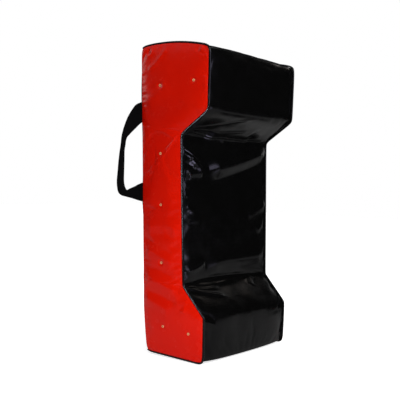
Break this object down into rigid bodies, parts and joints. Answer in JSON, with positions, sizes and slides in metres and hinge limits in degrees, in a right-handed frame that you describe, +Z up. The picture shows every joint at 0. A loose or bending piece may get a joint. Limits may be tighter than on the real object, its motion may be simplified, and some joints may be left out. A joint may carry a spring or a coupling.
{
  "type": "rugby hit shield",
  "caption": "Tall C-shaped foam tackle shield in a zipped red and black vinyl cover, with a webbing hand loop at each back edge and vent eyelets in the sides",
  "frame": {"origin": "Middle of the base, on the floor plane: halfway between the side seams and halfway between the front and back seams at the floor", "axes": "+Z up along the shield's height, front with the recess towards -Y, back with the hand loops and the zip towards +Y, +X to the shield's right as seen from the front"},
  "size_m": [0.4626, 0.2507, 0.7716],
  "materials": {
    "red_vinyl": "glossy coated PVC cloth, red",
    "black_vinyl": "glossy coated PVC cloth, black",
    "foam": "open-cell polyurethane foam, grey, hidden inside the cover",
    "black_welt": "PVC cloth folded over a cord, black",
    "webbing": "woven polypropylene webbing, matte black",
    "brass": "stamped brass, slightly dull",
    "zip_tape": "woven polyester tape, black",
    "zip_chain": "moulded nylon, black",
    "zip_metal": "die-cast zinc, dark nickel"
  },
  "bodies": {
    "shield": {"back_left_panel": "black_vinyl", "back_right_panel": "black_vinyl", "base_panel": "black_vinyl", "foam_back_slab": "foam", "foam_base_block": "foam", "foam_top_block": "foam", "front_strip": "black_vinyl", "left_handle_lower_end": "webbing", "left_handle_upper_end": "webbing", "left_side_panel": "red_vinyl", "left_vent_eyelet_1": "brass", "left_vent_eyelet_2": "brass", "left_vent_eyelet_3": "brass", "left_vent_eyelet_4": "brass", "left_vent_eyelet_5": "brass", "left_vent_eyelet_6": "brass", "left_vent_eyelet_7": "brass", "left_vent_washer_1": "brass", "left_vent_washer_2": "brass", "left_vent_washer_3": "brass", "left_vent_washer_4": "brass", "left_vent_washer_5": "brass", "left_vent_washer_6": "brass", "left_vent_washer_7": "brass", "left_welt": "black_welt", "right_handle_lower_end": "webbing", "right_handle_upper_end": "webbing", "right_side_panel": "red_vinyl", "right_vent_eyelet_1": "brass", "right_vent_eyelet_2": "brass", "right_vent_eyelet_3": "brass", "right_vent_eyelet_4": "brass", "right_vent_eyelet_5": "brass", "right_vent_eyelet_6": "brass", "right_vent_eyelet_7": "brass", "right_vent_washer_1": "brass", "right_vent_washer_2": "brass", "right_vent_washer_3": "brass", "right_vent_washer_4": "brass", "right_vent_washer_5": "brass", "right_vent_washer_6": "brass", "right_vent_washer_7": "brass", "right_welt": "black_welt", "zip_bottom_stop": "zip_metal", "zip_chain_left": "zip_chain", "zip_chain_right": "zip_chain", "zip_tape_left": "zip_tape", "zip_tape_right": "zip_tape", "zip_top_stop_left": "zip_metal", "zip_top_stop_right": "zip_metal"},
    "left_handle": {"left_handle": "webbing"},
    "right_handle": {"right_handle": "webbing"},
    "zip_slider": {"zip_slider": "zip_metal"},
    "zip_pull_tab": {"zip_pull_tab": "zip_metal"}
  },
  "joints": [
    {"name": "left_handle_swing", "type": "hinge", "parent": "shield", "child": "left_handle", "pos_m": [-0.1866, 0.11061, 0.50121], "axis": [-0.0157, 0.037, 0.9992], "range_deg": [-114, 108]},
    {"name": "right_handle_swing", "type": "hinge", "parent": "shield", "child": "right_handle", "pos_m": [0.1866, 0.11061, 0.50121], "axis": [0.0157, 0.037, 0.9992], "range_deg": [-108, 114]},
    {"name": "zip_slide", "type": "slide", "parent": "shield", "child": "zip_slider", "axis": [0, 0.037, 0.9993], "range_m": [-0.545, 0]},
    {"name": "zip_pull_swing", "type": "hinge", "parent": "zip_slider", "child": "zip_pull_tab", "pos_m": [0, 0.12486, 0.68752], "axis": [1, 0, 0], "range_deg": [0, 160]}
  ]
}
